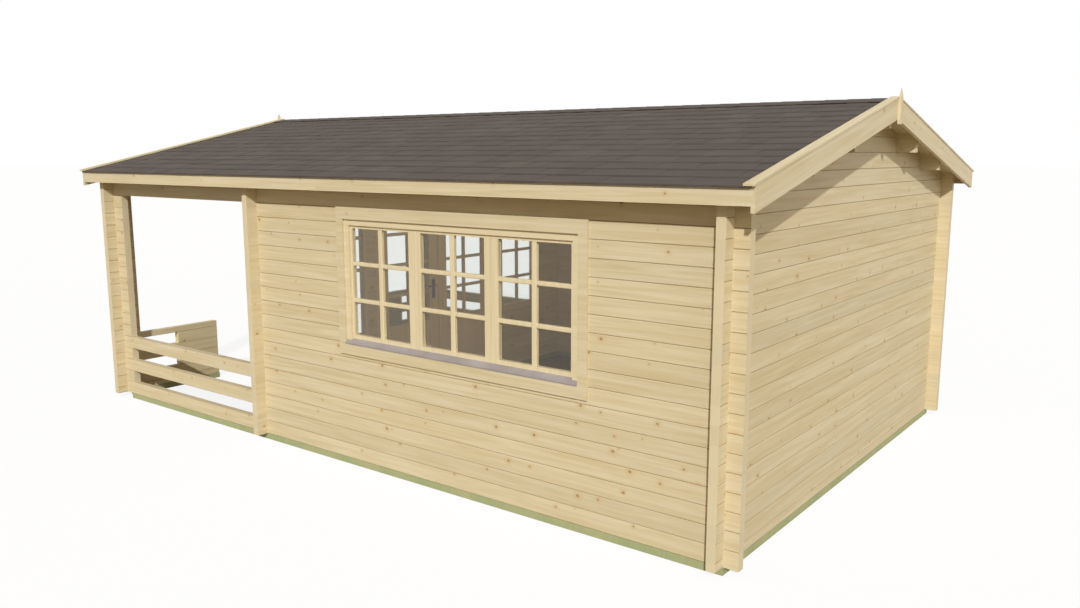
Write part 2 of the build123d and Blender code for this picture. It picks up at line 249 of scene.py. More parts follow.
class StageSettings(PropertyGroup):
    """Camera, lamps, floor and background."""

    camera_place: point("Camera", "Place of the camera", 6.6216, 5.3740, 2.3767)
    camera_heading: angle("Heading", "Direction of view from +X towards +Y", -142.56)
    camera_dip: angle("Dip", "How far the camera looks down", 9.31)
    lens: FloatProperty(
        name="Lens", description="Focal length", subtype="DISTANCE_CAMERA", default=30.49)
    sun_from: bearing("Sun", "Direction from the object towards the sun", 0.73, 0.4535, 0.511)
    sun_strength: power("Sun strength", "Strength of the sun", 2.85)
    sun_spread: angle("Sun spread", "How wide the sun looks from the object", 1.2)
    sky: colour("Sky", "Soft light from all round", 255, 243, 221)
    sky_strength: power("Sky strength", "Strength of the soft light", 0.43)
    rear_fill: power("Rear fill", "Strength of the soft light from the rear", 0.55)
    rear_fill_from: bearing("Rear fill direction", "Direction towards the rear fill", 0.2, 1.0, 0.2)
    rear_fill_spread: angle("Rear fill spread", "How wide the rear fill looks", 40.0)
    fill: power("Room fill", "Power of the soft lamp in the room", 26.0)
    fill_place: point("Room fill place", "Place of the soft lamp in the room", 0.2, 1.1, 1.5)
    fill_size: distance("Room fill size", "Radius of the soft lamp in the room", 0.6)
    fill_tone: colour("Room fill tone", "Tone of the soft lamp in the room", 255, 238, 210)
    floor: colour("Floor", "Floor as the camera sees it", 255, 255, 255)
    floor_glow: fraction("Floor glow", "Share of the floor's white that no shadow dims", 0.88)
    floor_bounce: colour("Floor bounce", "Floor as the object is lit by it", 134, 116, 86)


class Finish:
    """A procedural material, with a short call for each kind of node."""

    def __init__(self, name, roughness, metallic=0.0):
        self.material = bpy.data.materials.new(name)
        self.material.use_nodes = True
        self.nodes = self.material.node_tree.nodes
        self.links = self.material.node_tree.links
        self.shader = self.nodes["Principled BSDF"]
        self.give("Roughness", roughness)
        self.give("Metallic", metallic)
        coordinates = self.nodes.new("ShaderNodeTexCoord")
        self.place = coordinates.outputs["Object"]
        self.facing = coordinates.outputs["Normal"]

    def feed(self, socket, value):
        """Link another node's socket to this one, or set its value."""
        if isinstance(value, bpy.types.NodeSocket):
            self.links.new(value, socket)
        elif socket.type == "RGBA" and len(value) == 3:
            socket.default_value = (*value, 1.0)
        else:
            socket.default_value = value

    def give(self, name, value):
        """Set one of the surface's own values."""
        self.feed(self.shader.inputs[name], value)

    def maths(self, operation, *values):
        """One step of arithmetic."""
        node = self.nodes.new("ShaderNodeMath")
        node.operation = operation
        for socket, value in zip(node.inputs, values):
            self.feed(socket, value)
        return node.outputs[0]

    def plus(self, first, second):
        """The sum of two numbers."""
        return self.maths("ADD", first, second)

    def minus(self, first, second):
        """What is left of the first number after the second is taken away."""
        return self.maths("SUBTRACT", first, second)

    def times(self, first, second):
        """The product of two numbers."""
        return self.maths("MULTIPLY", first, second)

    def over(self, first, second):
        """The first number divided by the second."""
        return self.maths("DIVIDE", first, second)

    def size_of(self, value):
        """A number without its sign."""
        return self.maths("ABSOLUTE", value)

    def sign_of(self, value):
        """One or minus one, as the number is above or below nought."""
        return self.maths("SIGN", value)

    def whole(self, value):
        """The whole number at or below a number."""
        return self.maths("FLOOR", value)

    def above(self, value, limit):
        """One where a number is above a limit."""
        return self.maths("GREATER_THAN", value, limit)

    def below(self, value, limit):
        """One where a number is below a limit."""
        return self.maths("LESS_THAN", value, limit)

    def any_of(self, first, *others):
        """One where any of the values is one."""
        for other in others:
            first = self.maths("MAXIMUM", first, other)
        return first

    def diagonal(self, first, second):
        """Straight length of two steps at right angles."""
        squares = self.plus(self.times(first, first), self.times(second, second))
        return self.maths("SQRT", squares)

    def split(self, vector):
        """The three parts of a vector."""
        node = self.nodes.new("ShaderNodeSeparateXYZ")
        self.feed(node.inputs[0], vector)
        return node.outputs[0], node.outputs[1], node.outputs[2]

    def vector(self, *parts):
        """A vector from three parts."""
        node = self.nodes.new("ShaderNodeCombineXYZ")
        for socket, value in zip(node.inputs, parts):
            self.feed(socket, value)
        return node.outputs[0]

    def stretched(self, parts, scales):
        """A vector from parts that are each multiplied by a scale."""
        return self.vector(*[self.times(part, scale) for part, scale in zip(parts, scales)])

    def between(self, share, first, second):
        """A number between two, at a share of the way."""
        node = self.nodes.new("ShaderNodeMix")
        self.feed(node.inputs[0], share)
        self.feed(node.inputs[2], first)
        self.feed(node.inputs[3], second)
        return node.outputs[0]

    def blend(self, share, first, second, way="MIX"):
        """A colour between two, at a share of the way."""
        node = self.nodes.new("ShaderNodeMix")
        node.data_type = "RGBA"
        node.blend_type = way
        self.feed(node.inputs[0], share)
        self.feed(node.inputs[6], first)
        self.feed(node.inputs[7], second)
        return node.outputs[2]

    def tinted(self, tone, red, green, blue):
        """A colour with each of its parts multiplied."""
        return self.blend(1.0, tone, self.vector(red, green, blue), "MULTIPLY")

    def remap(self, value, low, high, to_low, to_high):
        """A value moved from one range to another, and kept inside it."""
        node = self.nodes.new("ShaderNodeMapRange")
        for socket, number in zip(node.inputs, (value, low, high, to_low, to_high)):
            self.feed(socket, number)
        return node.outputs[0]

    def rising(self, value, low, high, most=1.0):
        """Nothing below the first limit, and the most above the second."""
        return self.remap(value, low, high, 0.0, most)

    def falling(self, value, low, high, most=1.0):
        """The most below the first limit, and nothing above the second."""
        return self.remap(value, low, high, most, 0.0)

    def ranged(self, chance, least, most):
        """A random number from 0 to 1, moved to a range."""
        return self.remap(chance, 0.0, 1.0, least, most)

    def noise(self, vector, scale, detail, distortion=0.0):
        """Smooth noise."""
        node = self.nodes.new("ShaderNodeTexNoise")
        self.feed(node.inputs["Vector"], vector)
        self.feed(node.inputs["Scale"], scale)
        self.feed(node.inputs["Detail"], detail)
        self.feed(node.inputs["Distortion"], distortion)
        return node.outputs[0]

    def chance(self, vector):
        """Three random numbers that are the same all over one cell."""
        node = self.nodes.new("ShaderNodeTexWhiteNoise")
        self.feed(node.inputs["Vector"], vector)
        return self.split(node.outputs["Color"])

    def carried(self, name):
        """A number that the mesh carries at its points."""
        node = self.nodes.new("ShaderNodeAttribute")
        node.attribute_name = name
        return node.outputs["Fac"]

    def bump(self, height, relief, strength):
        """Small relief on the surface, in metres."""
        node = self.nodes.new("ShaderNodeBump")
        node.inputs["Distance"].default_value = relief
        node.inputs["Strength"].default_value = strength
        self.feed(node.inputs["Height"], height)
        self.give("Normal", node.outputs[0])

    def paint(self, tone):
        """Give the surface its colour."""
        self.give("Base Color", tone)

    def mix_in(self, share, other):
        """Put another shader in place of the surface's, to a share."""
        mix = self.nodes.new("ShaderNodeMixShader")
        self.feed(mix.inputs[0], share)
        self.feed(mix.inputs[1], self.shader.outputs[0])
        self.feed(mix.inputs[2], other.outputs[0])
        self.feed(self.nodes["Material Output"].inputs["Surface"], mix.outputs[0])


def wood_grain(finish, tones, along, across, height, shift):
    """Colour and relief of planed pine, with streaks and fibres along it."""
    long, wide, deep = STREAKS_PER_METRE
    start = finish.plus(finish.times(along, long), finish.times(shift, GRAIN_JUMP))
    flow = finish.vector(start, finish.times(across, wide), finish.times(height, deep))
    streaks = finish.noise(flow, scale=1.6, detail=3.0, distortion=0.6)
    fibres_at = finish.stretched((along, across, height), FIBRES_PER_METRE)
    fibres = finish.noise(fibres_at, scale=1.0, detail=2.0)
    both = finish.plus(finish.times(streaks, STREAK_PART), finish.times(fibres, 1 - STREAK_PART))
    return finish.blend(finish.rising(both, 0.36, 0.66), *tones), fibres


def add_knots(finish, timber, plain, along, height, shift, share_of_places):
    """The wood's colour with small knots in it, each with a darker ring of resin."""
    u = finish.plus(finish.over(along, KNOT_CELL), finish.times(shift, KNOT_JUMP))
    v = finish.over(height, timber.course)
    cells = finish.nodes.new("ShaderNodeTexVoronoi")
    cells.voronoi_dimensions = "2D"
    finish.feed(cells.inputs["Scale"], 1.0)
    finish.feed(cells.inputs["Vector"], finish.vector(u, v, 0.0))
    size, presence, _ = finish.split(cells.outputs["Color"])
    centre_u, centre_v, _ = finish.split(cells.outputs["Position"])
    off_u = finish.times(finish.minus(u, centre_u), KNOT_CELL * KNOT_STRETCH)
    off_v = finish.times(finish.minus(v, centre_v), timber.course)
    uneven = finish.noise(finish.vector(along, height, 0.0), scale=90.0, detail=1.0)
    away = finish.plus(finish.diagonal(off_u, off_v), finish.times(uneven, KNOT_WOBBLE))
    radius = finish.times(finish.ranged(size, SMALLEST_KNOT, 1.0), timber.knot_radius)
    radii_away = finish.over(away, radius)
    there = finish.below(presence, share_of_places)
    halo = finish.times(finish.falling(radii_away, 1.0, 3.6, 0.7), there)
    heart = finish.times(finish.falling(radii_away, 0.6, 1.2, 0.85), there)
    ringed = finish.blend(halo, plain, timber.knot_halo)
    return finish.blend(heart, ringed, timber.knot)


def end_grain(finish, timber, across, courses, shift):
    """Growth rings on the end of a log."""
    centre = finish.plus(finish.whole(finish.times(across, CELLS_PER_METRE)), shift)
    off_x = finish.minus(finish.times(across, LOGS_PER_METRE), centre)
    off_z = finish.plus(finish.maths("FRACT", courses), HEART_BELOW)
    rings = finish.maths("FRACT", finish.times(finish.diagonal(off_x, off_z), RINGS_PER_LOG))
    return finish.blend(finish.rising(rings, 0.55, 1.0, 0.8), timber.pine, timber.pine_streak)


def log_finish(timber, name, both_faces):
    """Stacked logs: each with its own tone, with painted shade in the joints and rings on its ends.
    """
    finish = Finish(name, 0.62)
    x, y, z = finish.split(finish.place)
    face_x, face_y, _ = finish.split(finish.facing)
    crossing = 0.0
    for low, high in CROSS_WALLS:
        band = finish.maths("COMPARE", y, (low.y + high.y) / 2, HALF_LOG + WALL_MARGIN)
        crossing = finish.plus(band, crossing)
    along = finish.between(crossing, y, x)
    across = finish.between(crossing, x, y)
    height = finish.over(finish.minus(z, BEAM_TOP), timber.course)
    courses = finish.plus(height, finish.times(crossing, 0.5))
    wall = finish.whole(finish.plus(finish.times(across, CELLS_PER_METRE), CELL_OFFSET))
    tone, shift, warmth = finish.chance(finish.vector(finish.whole(courses), wall, crossing))

    tones = (timber.pine, timber.pine_streak)
    plain, fibres = wood_grain(finish, tones, along, across, z, shift)
    knotted = add_knots(finish, timber, plain, along, z, shift, timber.knot_share)
    lengthways = finish.size_of(finish.between(crossing, face_y, face_x))
    rings = end_grain(finish, timber, across, courses, shift)
    sawn = finish.blend(finish.above(lengthways, END_FACING), knotted, rings)
    bright = finish.ranged(tone, 0.96, 1.03)
    green = finish.times(bright, finish.ranged(warmth, 0.985, 1.005))
    blue = finish.times(bright, finish.ranged(warmth, 0.95, 1.02))
    toned = finish.tinted(sawn, bright, green, blue)

    sideways = finish.between(crossing, face_x, face_y)
    if both_faces:
        jointed = finish.size_of(sideways)
    else:
        outwards = finish.between(crossing, finish.sign_of(x), finish.sign_of(y))
        jointed = finish.times(sideways, outwards)
    # Painted shade: darker along the middle of each V joint, on the faces that carry the joints
    from_seam = finish.times(finish.maths("PINGPONG", courses, 0.5), timber.course)
    dark = finish.falling(from_seam, SEAM_SHADE_CORE, SEAM_SHADE_EDGE, 0.7)
    seam = finish.times(dark, finish.above(jointed, SIDE_FACING))
    finish.paint(finish.blend(seam, toned, timber.seam))
    finish.bump(fibres, 0.0006, 0.5)
    return finish.material


def board_finish(timber, name, direction, tones, knots, hinge_metal=None):
    """Planed wood, its grain along an axis or down the roof, with metal on a door's hinges."""
    wood_roughness, metal_roughness = 0.55, 0.35
    finish = Finish(name, wood_roughness)
    x, y, z = finish.split(finish.place)
    if direction == "y":
        along, across, height = y, x, z
    elif direction == "z":
        along, across, height = z, finish.plus(x, y), finish.minus(x, y)
    else:
        out = finish.size_of(x)
        level, steep = math.cos(ROOF_ANGLE), math.sin(ROOF_ANGLE)
        along = finish.minus(finish.times(out, level), finish.times(z, steep))
        across = y
        height = finish.plus(finish.times(out, steep), finish.times(z, level))
    corner = finish.vector(finish.sign_of(x), finish.sign_of(y), 1.0)
    _, shift, _ = finish.chance(corner)
    plain, fibres = wood_grain(finish, tones, along, across, height, shift)
    surface = add_knots(finish, timber, plain, along, height, shift, knots)
    if hinge_metal is not None:
        hinge = finish.below(y, DOOR_FACE - HINGE_MARGIN)
        surface = finish.blend(hinge, surface, hinge_metal)
        finish.give("Metallic", hinge)
        finish.give("Roughness", finish.between(hinge, wood_roughness, metal_roughness))
    finish.paint(surface)
    finish.bump(fibres, 0.0004, 0.4)
    return finish.material


def deck_finish(timber, roof):
    """Roof boards, each with its own tone."""
    finish = Finish("roof_board_pine", 0.6)
    x, y, z = finish.split(finish.place)
    number = finish.whole(finish.over(finish.minus(y, DECK[0].y), board_pitch(roof)))
    tone, shift, _ = finish.chance(finish.vector(number, finish.sign_of(x), 2.0))
    plain, fibres = wood_grain(finish, (timber.pine, timber.pine_streak), x, z, y, shift)
    knotted = add_knots(finish, timber, plain, x, y, shift, timber.knot_share)
    bright = finish.ranged(tone, 0.92, 1.04)
    finish.paint(finish.tinted(knotted, bright, bright, bright))
    finish.bump(fibres, 0.0005, 0.4)
    return finish.material


def shingle_finish(roof):
    """Mineral granules, with tabs of several tones and printed shadow lines above the laps."""
    finish = Finish("shingle_granules", 0.92)
    finish.give("Specular IOR Level", 0.2)
    x, y, _ = finish.split(finish.place)
    patch = finish.carried("tone")
    lap = finish.carried("lap")
    grit = finish.noise(finish.place, scale=420.0, detail=2.0)
    cloud = finish.noise(finish.place, scale=1.3, detail=2.0)
    streaks_at = finish.vector(finish.times(x, 24), finish.times(y, 2.4), 0.0)
    streak = finish.noise(streaks_at, scale=1.0, detail=3.0)
    light, dark = roof.granules_light, roof.granules_dark
    tone = finish.blend(finish.rising(patch, 0.5, 1.0), roof.granules, light)
    tone = finish.blend(finish.falling(patch, 0.0, 0.5), tone, dark)
    tone = finish.blend(finish.rising(cloud, 0.35, 0.7, 0.25), tone, light)
    tone = finish.blend(finish.rising(streak, 0.42, 0.68, 0.5), tone, dark)
    tone = finish.blend(finish.rising(grit, 0.42, 0.62, 0.4), tone, dark)
    run = finish.whole(finish.times(y, 1.4))
    course = finish.whole(finish.times(x, 6.3))
    _, printed, _ = finish.chance(finish.vector(run, course, 5.0))
    shadow = finish.times(finish.rising(lap, 0.90, 0.95, 0.7), finish.above(printed, 0.5))
    finish.paint(finish.blend(shadow, tone, roof.printed))
    finish.bump(grit, 0.0012, 0.7)
    return finish.material


def beam_finish(timber):
    """Pressure treated timber, greenish, with saw marks across it."""
    finish = Finish("treated_timber", 0.75)
    cloud = finish.noise(finish.place, scale=5.0, detail=3.0)
    marks_at = finish.stretched(finish.split(finish.place), (60, 60, 4))
    marks = finish.noise(marks_at, scale=1.0, detail=2.0)
    darker = finish.blend(finish.rising(cloud, 0.35, 0.7, 0.35), timber.beam, timber.pine_streak)
    finish.paint(finish.blend(finish.rising(marks, 0.4, 0.8, 0.25), darker, timber.seam))
    finish.bump(marks, 0.0008, 0.5)
    return finish.material


def coated_finish(name, tone, roughness, metallic):
    """Coated or brushed metal, with faint unevenness."""
    pale_grey, dark_grey = (0.75, 0.75, 0.74), (0.12, 0.12, 0.12)
    finish = Finish(name, roughness, metallic)
    fine = finish.noise(finish.place, scale=60.0, detail=3.0)
    broad = finish.noise(finish.place, scale=6.0, detail=2.0)
    mottled = finish.blend(finish.rising(broad, 0.3, 0.7, 0.18), tone, pale_grey)
    finish.paint(finish.blend(finish.rising(fine, 0.45, 0.75, 0.12), mottled, dark_grey))
    finish.bump(fine, 0.0002, 0.3)
    return finish.material


def glass_finish(windows):
    """Clear panes, slightly rippled, that let the lamps through."""
    finish = Finish("clear_glass", 0.02)
    finish.paint(windows.glass)
    finish.give("Transmission Weight", 1.0)
    finish.give("IOR", 1.45)
    finish.give("Specular IOR Level", 0.3)
    finish.bump(finish.noise(finish.place, scale=3.0, detail=1.0), 0.0006, 0.25)
    path = finish.nodes.new("ShaderNodeLightPath")
    lamps = finish.any_of(path.outputs["Is Shadow Ray"], path.outputs["Is Diffuse Ray"])
    finish.mix_in(lamps, finish.nodes.new("ShaderNodeBsdfTransparent"))
    return finish.material


def board_pitch(roof):
    """From one roof board to the next."""
    return (DECK[1].y - DECK[0].y) / roof.board_count


def dress(piece, material):
    """Give a piece or a piece of the frame its only material."""
    piece.data.materials.clear()
    piece.data.materials.append(material)
    for face in piece.data.polygons:
        face.material_index = 0


def dress_nodes(names, material):
    """Give pieces of the frame a material."""
    for name in names:
        dress(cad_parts[name], material)


def clear_selection():
    """Leave edit mode, with nothing selected."""
    if bpy.context.object is not None and bpy.context.object.mode != "OBJECT":
        bpy.ops.object.mode_set(mode="OBJECT")
    bpy.ops.object.select_all(action="DESELECT")


def pick(piece):
    """Make a piece the only selected object."""
    clear_selection()
    piece.select_set(True)
    bpy.context.view_layer.objects.active = piece


def add_block(name, low, high):
    """A block between two corners, with its place in its mesh."""
    clear_selection()
    low, high = Vector(low), Vector(high)
    bpy.ops.mesh.primitive_cube_add(size=1.0, location=(low + high) / 2, scale=high - low)
    bpy.ops.object.transform_apply(location=True, rotation=True, scale=True)
    piece = bpy.context.object
    piece.name = name
    return piece


def bevel_edges(piece, chosen, width, segments):
    """Bevel the edges that the test chooses, given both ends of each."""
    pick(piece)
    bpy.ops.object.mode_set(mode="EDIT")
    bpy.ops.mesh.select_mode(type="EDGE")
    bpy.ops.mesh.select_all(action="DESELECT")
    mesh = bmesh.from_edit_mesh(piece.data)
    for edge in mesh.edges:
        edge.select = chosen(edge.verts[0].co, edge.verts[1].co)
    bmesh.update_edit_mesh(piece.data)
    bpy.ops.mesh.bevel(offset=width, segments=segments, affect="EDGES")
    bpy.ops.object.mode_set(mode="OBJECT")


def join_all(pieces, name):
    """Join pieces into one."""
    clear_selection()
    for piece in pieces:
        piece.select_set(True)
    bpy.context.view_layer.objects.active = pieces[0]
    bpy.ops.object.join()
    joined = bpy.context.object
    joined.name = name
    joined.data.name = name
    return joined


def lean_to_roof(piece, side):
    """Shear a piece made flat, with X out from the ridge, down to the slope on one side."""
    slope = Matrix.Identity(4)
    slope[2][0] = -ROOF_SLOPE
    slope[2][3] = RIDGE
    turn = Matrix.Rotation(0.0 if side > 0 else math.pi, 4, "Z")
    piece.data.transform(turn @ slope)


def settle(piece, material, body):
    """Give a finished piece its material and body."""
    dress(piece, material)
    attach(piece, body)


class CABIN_OT_timber(Operator):
    """Gives the logs, boards and frames their pine, and the beams their treated timber"""

    bl_idname = "cabin.timber"
    bl_label = "Timber finishes"

    def execute(self, context):
        timber = context.scene.cabin_timber
        pine = (timber.pine, timber.pine_streak)
        joinery = (timber.joinery, timber.joinery_streak)
        many, few = timber.knot_share, timber.few_knots
        metal = context.scene.cabin_windows.metal
        dress_nodes(WALL_NODES, log_finish(timber, "wall_log_pine", False))
        dress_nodes(RAIL_NODES, log_finish(timber, "rail_log_pine", True))
        dress_nodes(BEAM_NODES, beam_finish(timber))
        for nodes, name, direction, tones, knots, hinges in (
                (["fascias", "purlins"], "board_pine_y", "y", pine, many, None),
                (["finials"], "board_pine_z", "z", pine, few, None),
                (["side_window_trim"], "trim_pine", "y", pine, few, None),
                (["side_window_frame"], "frame_pine", "y", joinery, few, None),
                (BARGE_NODES, "board_pine_slope", "slope", pine, many, None),
                (SASH_NODES, "joinery_pine", "z", joinery, few, None),
                (DOOR_NODES, "door_pine", "z", joinery, few, metal)):
            dress_nodes(nodes, board_finish(timber, name, direction, tones, knots, hinges))
        return {"FINISHED"}


class CABIN_OT_fittings(Operator):
    """Gives the glass, drip sill and handles their finishes"""

    bl_idname = "cabin.fittings"
    bl_label = "Glass and metal"

    def execute(self, context):
        windows = context.scene.cabin_windows
        dress_nodes(GLASS_NODES, glass_finish(windows))
        dress_nodes(["side_window_sill"], coated_finish(
            "drip_sill_paint", windows.sill, roughness=0.45, metallic=0.0))
        dress_nodes(["door_handles"], coated_finish(
            "brushed_metal", windows.metal, roughness=0.35, metallic=1.0))
        return {"FINISHED"}


class CABIN_OT_roof_boards(Operator):
    """Lays the roof boards, with a V groove between each two on the underside"""

    bl_idname = "cabin.roof_boards"
    bl_label = "Roof boards"

    def execute(self, context):
        roof = context.scene.cabin_roof
        material = deck_finish(context.scene.cabin_timber, roof)
        pitch = board_pitch(roof)
        top = DECK[1].z - RIDGE
        bottom = DECK[0].z + ROOF_SLOPE * DECK[1].x - RIDGE

        def is_lower_long_edge(a, b):
            return max(a.z, b.z) < top - TOUCHING and abs(a.y - b.y) < TOUCHING

        for side, name in SLOPES:
            board = add_block("roof_boards_" + name, (0.0, DECK[0].y, bottom),
                              (DECK[1].x, DECK[0].y + pitch, top))
            bevel_edges(board, is_lower_long_edge, roof.board_groove, segments=1)
            pick(board)
            row = board.modifiers.new("Row", "ARRAY")
            row.count = roof.board_count
            row.use_relative_offset = False
            row.use_constant_offset = True
            row.constant_offset_displace = (0.0, pitch, 0.0)
            bpy.ops.object.modifier_apply(modifier=row.name)
            lean_to_roof(board, side)
            settle(board, material, "cabin")
            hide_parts("roof_deck_" + name)
        return {"FINISHED"}


class CABIN_OT_shingles(Operator):
    """Lays courses of shingles with raised tabs of random width"""

    bl_idname = "cabin.shingles"
    bl_label = "Shingles"

    underlay_share = 0.35
    lap_thickness = 0.001
    tab_rise = 0.0045
    tab_margin = 0.001
    tab_widths = (0.45, 1.6)
    tab_gaps = (0.1, 1.2)
    tab_tones = (0.1, 0.9)
    least_room = 0.05
    largest_taper = 0.012
    middle_tone = 0.5
    tone_change = 0.05

    def execute(self, context):
        roof = context.scene.cabin_roof
        material = shingle_finish(roof)
        for side, name in SLOPES:
            slope = self.lay_courses(roof, random.Random(SLOPE_SEED + side))
            slope.name = "shingle_courses_" + name
            lean_to_roof(slope, side)
            settle(slope, material, "cabin")
            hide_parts("shingles_" + name)
        return {"FINISHED"}

    def lay_courses(self, roof, chance):
        """All courses of one slope, made flat with X out from the ridge."""
        lift = SHINGLES[1].z - DECK[1].z
        base = lift * self.underlay_share - lift
        edge = SHINGLES[1].x
        pieces = [self.strip(0.0, edge - roof.tab_reach, -lift, base, base, chance)]
        lap = roof.first_course * math.cos(ROOF_ANGLE)
        while edge > 0:
            upper = max(edge - lap, 0.0)
            pieces.append(self.strip(upper, edge - roof.tab_reach, base,
                                     base + self.lap_thickness, -roof.tab_thickness, chance))
            pieces += self.tabs(roof, upper, edge, base, chance)
            edge -= lap
            lap = roof.exposure * math.cos(ROOF_ANGLE)
        return join_all(pieces, "shingle_courses")

    def strip(self, upper, edge, bottom, top_upper, top_edge, chance):
        """One course as a long wedge, thickest at its lower edge."""
        piece = add_block("strip", (upper, SHINGLES[0].y, bottom), (edge, SHINGLES[1].y, top_edge))
        for vertex in piece.data.vertices:
            if vertex.co.x < edge - TOUCHING and vertex.co.z > bottom + HAIR:
                vertex.co.z = top_upper
        change = chance.uniform(-self.tone_change, self.tone_change)
        self.mark(piece, self.middle_tone + change, upper, edge)
        return piece

    def tabs(self, roof, upper, edge, bottom, chance):
        """The raised tabs of one course."""
        made = []
        place = SHINGLES[0].y + chance.uniform(0.0, roof.tab_width)
        while place < SHINGLES[1].y - self.least_room:
            width = roof.tab_width * chance.uniform(*self.tab_widths)
            width = min(width, SHINGLES[1].y - place)
            tab = add_block("tab", (upper + self.tab_margin, place, bottom),
                            (edge, place + width, 0.0))
            taper = chance.uniform(0.0, self.largest_taper)
            for vertex in tab.data.vertices:
                if vertex.co.x < edge - TOUCHING:
                    vertex.co.y += taper if vertex.co.y < place + width / 2 else -taper
                    if vertex.co.z > bottom + HAIR:
                        vertex.co.z -= self.tab_rise
            self.mark(tab, chance.triangular(*self.tab_tones, self.middle_tone), upper, edge)
            made.append(tab)
            place += width + roof.tab_width * chance.uniform(*self.tab_gaps)
        return made

    def mark(self, piece, tone, upper, edge):
        """Note the tone of a piece, and how far up its course each point is."""
        tones = piece.data.attributes.new("tone", "FLOAT", "POINT")
        laps = piece.data.attributes.new("lap", "FLOAT", "POINT")
        for vertex in piece.data.vertices:
            tones.data[vertex.index].value = tone
            laps.data[vertex.index].value = (edge - vertex.co.x) / (edge - upper)


class CABIN_OT_ridge(Operator):
    """Folds short shingles over the ridge, each lapping the one before it"""

    bl_idname = "cabin.ridge"
    bl_label = "Ridge shingles"

    underside = -0.002
    top_side = 0.0012
    crease = 0.02
    rounding = 0.004
    lift = 0.0015
    rise = 0.0025
    overlap = 1.12
    tones = (0.2, 0.8, 0.5)

    def execute(self, context):
        roof = context.scene.cabin_roof
        length = SHINGLES[1].y - SHINGLES[0].y
        count = int(length / roof.exposure)
        reach = length / count
        chance = random.Random(RIDGE_SEED)
        caps = []
        for number in range(count):
            start = SHINGLES[0].y + number * reach
            end = min(start + reach * self.overlap, SHINGLES[1].y)
            cap = self.fold(roof.ridge_half, start, end)
            marks = cap.data.attributes.new("tone", "FLOAT", "POINT")
            cap.data.attributes.new("lap", "FLOAT", "POINT")
            tone = chance.triangular(*self.tones)
            for vertex in cap.data.vertices:
                marks.data[vertex.index].value = tone
            caps.append(cap)
        ridge = join_all(caps, "ridge_shingles")
        settle(ridge, bpy.data.materials["shingle_granules"], "cabin")
        return {"FINISHED"}

    def fold(self, half, start, end):
        """One ridge shingle, bent over the ridge, its near end raised over the one before."""
        cap = add_block("cap", (-half, start, self.underside), (half, end, self.top_side))
        pick(cap)
        bpy.ops.object.mode_set(mode="EDIT")
        for x in (0.0, self.crease, -self.crease):
            bpy.ops.mesh.select_all(action="SELECT")
            bpy.ops.mesh.bisect(plane_co=(x, 0.0, 0.0), plane_no=(1.0, 0.0, 0.0))
        bpy.ops.object.mode_set(mode="OBJECT")
        for vertex in cap.data.vertices:
            out = max(abs(vertex.co.x), self.rounding)
            vertex.co.z += RIDGE + self.lift - ROOF_SLOPE * out
            if vertex.co.y <= (start + end) / 2:
                vertex.co.z += self.rise
        return cap


def bars_in(low, high, flat, rows, windows, width):
    """Bars on both faces of a pane between two corners, which is thin along the flat axis."""
    across = 1 - flat
    middle = (low[across] + high[across]) / 2
    upright = (middle - width / 2, middle + width / 2)
    gaps = ((low[across], upright[0]), (upright[1], high[across]))
    half = windows.crossbar / 2
    pieces = []
    for face in (-1, 1):
        glass = (low if face < 0 else high)[flat]
        outer = glass + face * windows.bar_depth
        pieces.append(bar(flat, glass, outer, upright, (low.z, high.z), windows.bar_edge))
        for height in rows:
            heights = (height - half, height + half)
            for gap in gaps:
                pieces.append(bar(flat, glass, outer, gap, heights, windows.bar_edge))
    return pieces


def bar(flat, glass, outer, sides, heights, edge_width):
    """One bar from the glass outwards, with the two long edges of its outer face eased."""
    low, high = [0.0, 0.0, heights[0]], [0.0, 0.0, heights[1]]
    low[flat], high[flat] = sorted((glass, outer))
    low[1 - flat], high[1 - flat] = sides
    piece = add_block("bar", low, high)
    run = 2 if heights[1] - heights[0] > sides[1] - sides[0] else 1 - flat

    def is_outer_edge(a, b):
        lengthways = abs(a[run] - b[run]) > 0.5 * (high[run] - low[run])
        return lengthways and all(abs(end[flat] - outer) < TOUCHING for end in (a, b))

    bevel_edges(piece, is_outer_edge, edge_width, segments=2)
    return piece


def settle_bars(pieces, name, body):
    """Join the bars of one or more panes into a finished piece."""
    bars = join_all(pieces, name)
    settle(bars, bpy.data.materials["joinery_pine"], body)


class CABIN_OT_side_window_bars(Operator):
    """Adds the bars that divide each sash of the side window into six"""

    bl_idname = "cabin.side_window_bars"
    bl_label = "Side window bars"

    def execute(self, context):
        windows = context.scene.cabin_windows
        rows = [windows.lower_bar, windows.upper_bar]
        low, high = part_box("side_window_glass")
        pane = high.y - low.y - (SIDE_SASHES - 1) * windows.sash_pitch
        pieces = []
        for number in range(SIDE_SASHES):
            start = low.y + number * windows.sash_pitch
            corner = Vector((low.x, start, low.z))
            opposite = Vector((high.x, start + pane, high.z))
            pieces += bars_in(corner, opposite, 0, rows, windows, windows.upright)
        settle_bars(pieces, "side_window_bars", "cabin")
        return {"FINISHED"}


